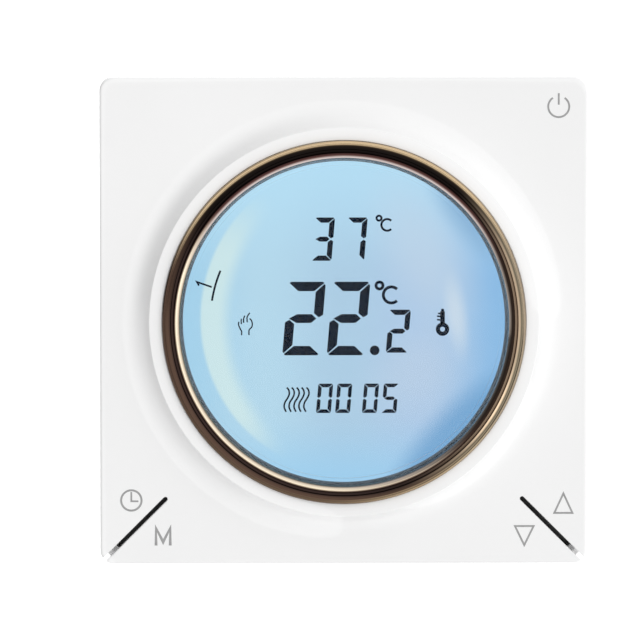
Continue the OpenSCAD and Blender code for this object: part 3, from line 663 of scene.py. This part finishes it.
# Corners of the face that bend as keys. FAR is well past the face's edge
FAR = 50.0
NEAR = CORNER_CUT - FAR
DIAGONAL = CORNER_CUT / 2
LOWER_CORNER = [(-NEAR, -FAR), (-FAR, -NEAR), (-FAR, -FAR)]
CLOCK_CORNER = [(-DIAGONAL, -DIAGONAL), (-FAR, -NEAR), (-FAR, -FAR)]
MENU_CORNER = [(-DIAGONAL, -DIAGONAL), (-FAR, -FAR), (-NEAR, -FAR)]
POWER_CORNER = [(POWER_CUT - FAR, FAR), (FAR, FAR), (FAR, POWER_CUT - FAR)]


def flip(points):
    return [(-x, y) for x, y in points]


# Each key: its corner of the face, the middle of its bending line, the direction of its tip from
# there, and where its post stands
KEYS = {
    "power": (POWER_CORNER, (33.5, 33.5), (0.70711, 0.70711), (37.4, 37.4)),
    "clock": (CLOCK_CORNER, (-37.25, -27.25), (-0.59439, -0.80418), (-37.8, -33.6)),
    "menu": (MENU_CORNER, (-27.25, -37.25), (-0.80418, -0.59439), (-33.6, -37.8)),
    "down": (flip(MENU_CORNER), (27.25, -37.25), (0.80418, -0.59439), (33.6, -37.8)),
    "up": (flip(CLOCK_CORNER), (37.25, -27.25), (0.59439, -0.80418), (37.8, -33.6)),
}


def make_cover_and_keys():
    """The face in one skin with its raised collar, then the five corners cut out of it as keys."""
    bm = bmesh.new()
    join_loops(bm, cover_loops(), closed=True)
    cover = finish_mesh("cover_skin", bm, MATERIALS["gloss_white"], sharp=35)
    blank = cover.data.copy()
    for corner in (LOWER_CORNER, flip(LOWER_CORNER), POWER_CORNER):
        apply_boolean(cover, prism_cutter(corner), "DIFFERENCE")
    cover.data.set_sharp_from_angle(angle=radians(35))
    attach(cover, "front_unit")
    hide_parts("front_cover")
    for key, (corner, middle, tip, post) in KEYS.items():
        make_key(blank, key, corner, middle, tip)
        make_post(key, post)


def make_key(blank, key, corner, middle, tip):
    """One corner of the face, cut out of the same skin, with edges across the strip that bends."""
    piece = bpy.data.objects.new(f"key_skin_{key}", blank.copy())
    bpy.context.scene.collection.objects.link(piece)
    apply_boolean(piece, prism_cutter(corner), "INTERSECT")
    if key != "power":
        side = -1 if middle[0] < 0 else 1
        apply_boolean(piece, cutter(slit_loops(side, SLIT_W / 2, 0.1)), "DIFFERENCE")
    bm = bmesh.new()
    bm.from_mesh(piece.data)
    line = [place(middle[0] + tip[0] * d, middle[1] + tip[1] * d, 0)
            for d in (-BEND, -BEND / 2, 0, BEND / 2, BEND)]
    for point in line:
        bmesh.ops.bisect_plane(bm, geom=bm.verts[:] + bm.edges[:] + bm.faces[:], plane_co=point,
                               plane_no=(tip[0], 0, tip[1]), dist=1e-7)
    bm.to_mesh(piece.data)
    bm.free()
    piece.data.set_sharp_from_angle(angle=radians(35))
    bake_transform(piece)
    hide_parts(f"key_{key}")


def make_post(key, middle):
    """The stepped post behind a key that pushes its switch."""
    bm = bmesh.new()
    top, tip = BACK_Z + 0.1, POST_TIP_Z
    r, tip_r, step_z, chamfer = 1.1, 0.5, POST_TIP_Z + 0.5, 0.1
    profile = [(0, top), (r, top), (r, step_z + chamfer), (r - chamfer, step_z), (tip_r, step_z),
               (tip_r, tip + 0.08), (tip_r - 0.08, tip), (0, tip)]
    lathe(bm, profile, centre=middle, steps=32)
    post = finish_mesh(f"key_post_{key}", bm, MATERIALS["gloss_white"])
    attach(post, f"{key}_key")


def make_printed_marks():
    """The grey marks printed on the keys, as thin raised ink."""
    low, high = FACE_Z - 0.02, FACE_Z + 0.015
    marks = {key: bmesh.new() for key in KEYS}
    for key, line, width, closed in (
            ("power", arc((37.8, 37.8), 1.85, 124, 416), 0.33, False),
            ("power", [(37.8, 40.15), (37.8, 38.15)], 0.33, False),
            ("clock", arc((-37.5, -31.7), 1.8, 0, 354, 59), 0.35, True),
            ("clock", [(-37.5, -30.2), (-37.5, -31.85), (-36.25, -31.85)], 0.3, False),
            ("menu", [(-33.15, -39.7), (-33.15, -36.65), (-31.9, -39.1), (-30.65, -36.65),
                      (-30.65, -39.7)], 0.5, False),
            ("up", [(37.2, -34.05), (40.4, -34.05), (38.8, -30.6)], 0.33, True),
            ("down", [(30.25, -36.37), (31.9, -39.75), (33.55, -36.37)], 0.33, True)):
        add_ribbon(marks[key], line, width, low, high, closed=closed)
    for key, bm in marks.items():
        mark = finish_mesh(f"mark_{key}", bm, MATERIALS["print_grey"])
        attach(mark, f"{key}_key")


# ---- ring and lens ----

def make_ring():
    """The turned trim ring, with its lip, sloping band, groove and inner bevel."""
    base = [(RING_BORE_R, SEAT_Z), (RING_R, SEAT_Z)]
    lip = [(RING_R, 15.75), (31.85, 15.95), (31.6, 15.95), (31.45, 15.8)]
    band_and_groove = [(30.6, 16.1), (30.5, 15.7), (30.05, 15.7)]
    bevel = [(29.9, 16.2), (29.5, 16.2), (29.0, 15.85), (RING_BORE_R, 15.2)]
    bm = bmesh.new()
    lathe(bm, soften(base + lip + band_and_groove + bevel, 0.07), steps=360)
    ring = finish_mesh("trim_ring", bm, MATERIALS["ring_metal"], sharp=60)
    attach(ring, "front_unit")
    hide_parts("bezel_ring")


def make_lens():
    """The clear dome, with the flange that the ring holds down."""
    steps = 24
    inner_r = LENS_R - LENS_T

    def dome(r, edge_z):
        return [(r * i / steps, edge_z + LENS_RISE * (1 - (i / steps) ** 2)) for i in range(steps + 1)]

    outside, inside = dome(LENS_R, LENS_EDGE_Z), dome(inner_r, LENS_EDGE_Z - LENS_T)[::-1]
    base_z = SEAT_Z - FLANGE_T
    rim = [(LENS_R, LENS_EDGE_Z - 0.05), (LENS_R, SEAT_Z), (FLANGE_R, SEAT_Z), (FLANGE_R, base_z),
           (inner_r, base_z)]
    bm = bmesh.new()
    lathe(bm, outside + rim + inside, steps=192)
    lens = finish_mesh("dome_lens", bm, MATERIALS["lens_clear"], sharp=40)
    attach(lens, "front_unit")
    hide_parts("lens")


def make_lens_border():
    """A dull blue-grey band seen through the edge of the dome: painted shade standing in for the shaded
    wall of the recess round the display.
    """
    bm = bmesh.new()
    low, high = DISPLAY_Z + 2.6, DISPLAY_Z + 2.7
    inner_r, outer_r = 28.3, BORE_R - 0.02
    lathe(bm, [(inner_r, low), (outer_r, low), (outer_r, high), (inner_r, high)])
    rim_shade = finish_mesh("lens_rim_shade", bm, MATERIALS["rim_shade_grey"])
    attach(rim_shade, "front_unit")


# ---- display marks ----

SLANT = tan(radians(4.8))   # lean of the digits
DROP = 0.18                 # the marks lie this much lower, as a view from above lifts them
SEGMENTS = {"0": "abcdef", "1": "bc", "2": "abged", "3": "abgcd", "4": "fgbc", "5": "afgcd",
            "6": "afgedc", "7": "abc"}


def segment_shapes(w, h, t, gap):
    """Outlines of a digit's seven bars, t thick and a gap apart, in an upright box of w by h."""
    k, c, m = gap * 0.707, t * 0.14, h / 2
    top = [(k, h - c), (k + c, h), (w - k - c, h), (w - k, h - c), (w - t - k, h - t),
           (t + k, h - t)]
    right = [(w, h - k - c * 1.6), (w - c, h - k - c * 0.6), (w - t, h - t - k + c * 0.4),
             (w - t, m + t * 0.58), (w - t * 0.45, m + gap * 0.6), (w, m + t * 0.4)]
    middle = [(t * 0.3 + k * 0.5, m), (t * 1.15 + k * 0.5, m + t * 0.47),
              (w - t * 1.15 - k * 0.5, m + t * 0.47), (w - t * 0.62 - k * 0.5, m),
              (w - t * 1.15 - k * 0.5, m - t * 0.47), (t * 1.15 + k * 0.5, m - t * 0.47)]

    def mirror(points, across, down):
        moved = [(w - x if across else x, h - y if down else y) for x, y in points]
        return moved if across == down else moved[::-1]

    return {"a": top, "b": right, "c": mirror(right, False, True), "d": mirror(top, False, True),
            "e": mirror(right, True, True), "f": mirror(right, True, False), "g": middle}


def add_digit(bm, digit, x0, y0, w, h, t, gap):
    """A leaning digit with its lower left corner at x0, y0."""
    shapes = segment_shapes(w, h, t, gap)
    for bar in SEGMENTS[digit]:
        points = [(x0 + x + y * SLANT, y0 + y - DROP) for x, y in shapes[bar]]
        add_prism(bm, points, *INK)


def add_stroke(bm, points, width, closed=False):
    """A stroke of ink on the display."""
    add_ribbon(bm, [(x, y - DROP) for x, y in points], width, *INK, closed=closed)


def add_celsius(bm, degree, degree_r, centre, r, width):
    """The degree ring and the C, each by its middle and outer radius."""
    add_stroke(bm, arc(degree, degree_r - width / 2, 0, 348, 29), width, closed=True)
    add_stroke(bm, arc(centre, r - width / 2, 46, 314), width)


# Digits of the display: the figure, its lower left corner, and its size for segment_shapes()
SMALL, LARGE, TENTH, CLOCK = ((3.5, 7.64, 0.92, 0.2), (6.62, 13.0, 1.65, 0.36), (3.8, 7.6, 0.92, 0.2),
                              (2.62, 5.19, 0.64, 0.15))
DIGITS = [
    ("3", -5.65, 10.72, SMALL), ("7", 0.11, 10.72, SMALL),
    ("2", -10.84, -6.0, LARGE), ("2", -2.99, -6.0, LARGE), ("2", 7.43, -5.55, TENTH),
    ("0", -4.89, -16.22, CLOCK), ("0", -1.51, -16.22, CLOCK),
    ("0", 3.22, -16.22, CLOCK), ("5", 6.68, -16.22, CLOCK),
]
# One wave of the heating symbol from its foot, and the lines of the hand
WAVE = [(0, 0), (-0.34, 0.8), (-0.22, 1.64), (0.3, 2.5), (0.56, 3.2), (0.46, 3.86), (0.12, 4.3)]
HAND = [
    [(-18.48, -0.06), (-18.52, -0.6), (-18.22, -1.33), (-18.0, -1.74), (-18.0, -2.42)],
    [(-18.04, 0.49), (-18.07, 0.0), (-18.03, -0.47)],
    [(-17.42, 1.03), (-17.63, 0.49), (-17.63, -0.24)],
    [(-16.55, 1.54), (-17.0, 0.85), (-17.03, 0.31), (-17.0, -0.15)],
    [(-16.6, 0.53), (-16.26, 0.17), (-16.11, -0.42), (-16.22, -1.01), (-16.66, -1.51),
     (-16.69, -2.42)],
]


def make_display_marks():
    """Digits and symbols of the display, as thin solid shapes on the polarizer."""
    bm = bmesh.new()
    for digit, x0, y0, size in DIGITS:
        add_digit(bm, digit, x0, y0, *size)
    add_celsius(bm, (6.23, 18.23), 0.62, (7.67, 17.04), 1.21, 0.38)
    add_celsius(bm, (6.32, 6.33), 0.87, (8.42, 4.66), 1.68, 0.52)
    add_prism(bm, [(x, y - DROP) for x, y in arc((5.48, -5.14), 0.85, 0, 350, 35)], *INK)
    for i in range(5):
        add_stroke(bm, curve_through([(-10.15 + 0.87 * i + u, v - 16.0) for u, v in WAVE]), 0.3)
    for finger in HAND:
        add_stroke(bm, curve_through(finger), 0.23)
    add_stroke(bm, arc((0, 0), 23.5, 157.5, 171), 0.36)
    add_stroke(bm, [(-23.25, 6.1), (-25.85, 7.0), (-25.5, 6.35)], 0.32)
    add_thermometer(bm, 17.45)
    marks = finish_mesh("display_marks", bm, MATERIALS["ink_navy"])
    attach(marks, "front_unit")


def add_thermometer(bm, x):
    """A bulb with its tube, and three lines of its scale on the left."""
    add_stroke(bm, arc((x, -1.41), 0.81, 0, 350, 35), 0.74, closed=True)
    add_stroke(bm, [(x, -0.4), (x, 1.75)], 0.8)
    add_stroke(bm, [(x, 1.7), (x, 2.2)], 0.5)
    for y, reach in ((1.32, 0.55), (0.82, 0.72), (0.21, 0.72)):
        add_stroke(bm, [(x - 0.25, y), (x - 0.25 - reach, y + 0.08)], 0.28)


def make_terminal_numbers():
    """Numbers 1 to 6 moulded on the back of the case above the terminals, read from behind."""
    bm = bmesh.new()
    width, base, height = 1.2, -11.6, 0.1
    shapes = segment_shapes(width, 2.1, 0.3, 0.04)
    for n in range(1, 7):
        x0 = (n - 3.5) * TERMINAL_PITCH + width / 2
        for bar in SEGMENTS[str(n)]:
            add_prism(bm, [(x0 - x, base + y) for x, y in shapes[bar]],
                      -CASE_DEPTH - height, -CASE_DEPTH + 0.02)
    numbers = finish_mesh("terminal_numbers", bm, MATERIALS["number_grey"])
    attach(numbers, "wall_unit")


# ---- the rest of the CAD nodes ----

# Width of the bevel on a node's edges, in millimetres
BEVELS = {"panel_frame": 0.15, "rear_case": 0.5, "case_lid": 0.3, "mounting_plate": 0.12,
          "terminal_block": 0.25, "relay": 0.5, "film_capacitor": 0.6, "transformer": 0.3,
          "controller_chip": 0.15, "tact_switches": 0.1, "lcd_holder": 0.15, "header_socket": 0.1,
          "header_pins": 0.08, "case_screws": 0.12, "board_screws": 0.08, "smoothing_capacitor": 0.4,
          "varistor": 0.6, "fuse": 0.3, "backup_cell": 0.15, "terminal_contacts": 0.08,
          "backlight_leds": 0.1}


def dress_nodes():
    """A finish for each CAD node by its slot, and a small bevel where the real edge has one."""
    small_metal, small_bevel = ("clamp", "terminal_screw"), 0.1
    for part in frame["record"]["subparts"]:
        name = part["node"]
        obj = frame["nodes"][name]
        obj.data.materials.clear()
        obj.data.materials.append(MATERIALS[part["material_slot"]])
        width = BEVELS.get(name, small_bevel if name.startswith(small_metal) else 0)
        weld = obj.modifiers.new("weld", "WELD")
        weld.merge_threshold = 1e-6
        if width:
            bevel = obj.modifiers.new("bevel", "BEVEL")
            bevel.width = width * MM
            bevel.segments = 2
            bevel.limit_method = "ANGLE"
            bevel.angle_limit = radians(50)


# ---- camera, floor and light ----

def make_camera():
    """Nearly straight on, a little above and to the left, from far away with a long lens."""
    side, up, distance = radians(-1.0), radians(4.6), 1.3
    data = bpy.data.cameras.new("camera")
    data.lens = 415
    data.sensor_width = 36
    data.clip_end = 50
    camera = bpy.data.objects.new("camera", data)
    bpy.context.scene.collection.objects.link(camera)
    target = place(-4.2, 0.2, FACE_Z)
    away = Vector((sin(side) * cos(up), -cos(side) * cos(up), sin(up)))
    camera.location = target + away * distance
    camera.rotation_euler = (-away).to_track_quat("-Z", "Y").to_euler()
    bpy.context.scene.camera = camera


def make_floor():
    """A wide white floor below and behind the part."""
    level = -0.12
    corners = [(-8, -3), (8, -3), (8, 14), (-8, 14)]
    bm = bmesh.new()
    bm.faces.new([bm.verts.new((x, y, level)) for x, y in corners])
    floor = finish_mesh("floor", bm, MATERIALS["floor"])
    floor.visible_diffuse = False


def add_area(name, position, size, power):
    """A rectangular light that faces the part and leaves no highlight."""
    data = bpy.data.lights.new(name, "AREA")
    data.shape = "RECTANGLE"
    data.size, data.size_y = size
    data.energy = power
    light = bpy.data.objects.new(name, data)
    light.location = position
    light.rotation_euler = (-Vector(position)).to_track_quat("-Z", "Y").to_euler()
    light.visible_glossy = False
    bpy.context.scene.collection.objects.link(light)


def make_light():
    """A soft studio that darkens towards the left, with a fill from behind."""
    world = bpy.data.worlds.new("studio")
    world.use_nodes = True
    tree = world.node_tree
    bright_side = (0.99, 0, -0.14)
    around = add_node(tree, "ShaderNodeTexCoord").outputs["Generated"]
    facing = add_node(tree, "ShaderNodeVectorMath", {0: around, 1: bright_side},
                      operation="DOT_PRODUCT").outputs["Value"]
    level = add_node(tree, "ShaderNodeMapRange", {"Value": facing, "From Min": -0.8, "From Max": -0.1,
                                                  "To Min": 0.29, "To Max": 1.31})
    background = tree.nodes["Background"]
    tree.links.new(level.outputs["Result"], background.inputs["Strength"])
    background.inputs["Color"].default_value = (1, 1, 1, 1)
    bpy.context.scene.world = world
    add_area("back_fill", (-0.9, 0.9, 0.6), (0.8, 0.8), 3.0)
    bpy.context.scene.view_settings.view_transform = "Standard"
    bpy.context.scene.view_settings.look = "None"


MATERIALS = make_materials()
make_camera()
make_floor()
make_light()
dress_nodes()
make_cover_and_keys()
make_printed_marks()
make_ring()
make_lens()
make_lens_border()
make_display_marks()
make_terminal_numbers()
